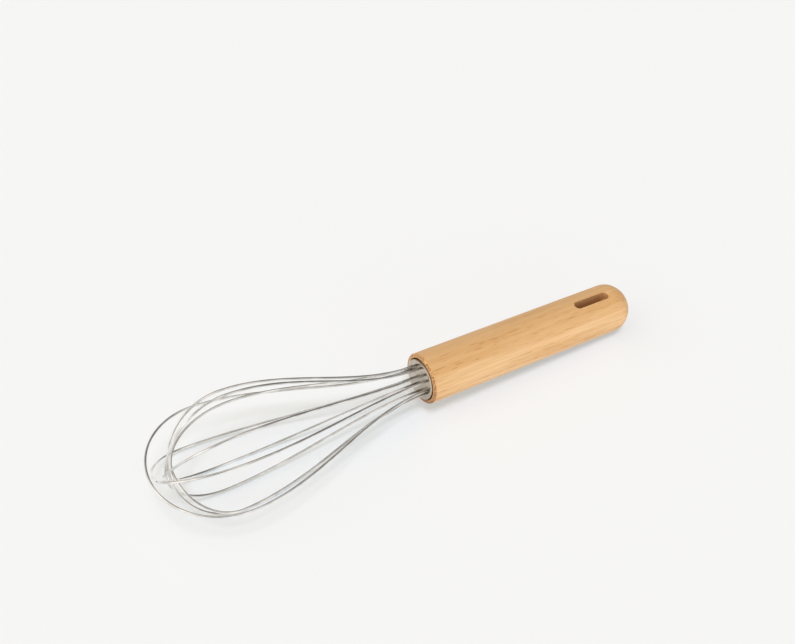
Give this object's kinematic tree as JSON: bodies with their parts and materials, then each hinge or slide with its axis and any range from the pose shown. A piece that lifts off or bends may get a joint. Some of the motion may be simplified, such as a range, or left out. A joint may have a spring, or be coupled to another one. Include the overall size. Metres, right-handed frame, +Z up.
{
  "type": "balloon whisk",
  "caption": "Balloon whisk of bent steel wire loops held by a drilled steel disc in the bored end of a turned wooden handle with a domed butt and a hanging slot.",
  "frame": {"origin": "on the ground, under the middle of the whisk as it lies at rest", "axes": "+X along the whisk from the balloon to the butt, +Z up, +Y to the whisk's side"},
  "size_m": [0.2562, 0.0646, 0.0608],
  "materials": {
    "handle_wood": "oiled light oak, long grain along the handle",
    "disc_steel": "satin stainless steel",
    "plug_resin": "cast resin, hidden in the handle",
    "wire_steel": "polished stainless steel wire"
  },
  "bodies": {
    "root": {"handle": "handle_wood", "end_disc": "disc_steel", "wire_plug": "plug_resin", "wire_loop_1": "wire_steel", "wire_loop_2": "wire_steel", "wire_loop_3": "wire_steel", "wire_loop_4": "wire_steel", "wire_loop_5": "wire_steel", "wire_loop_6": "wire_steel"}
  },
  "joints": []
}
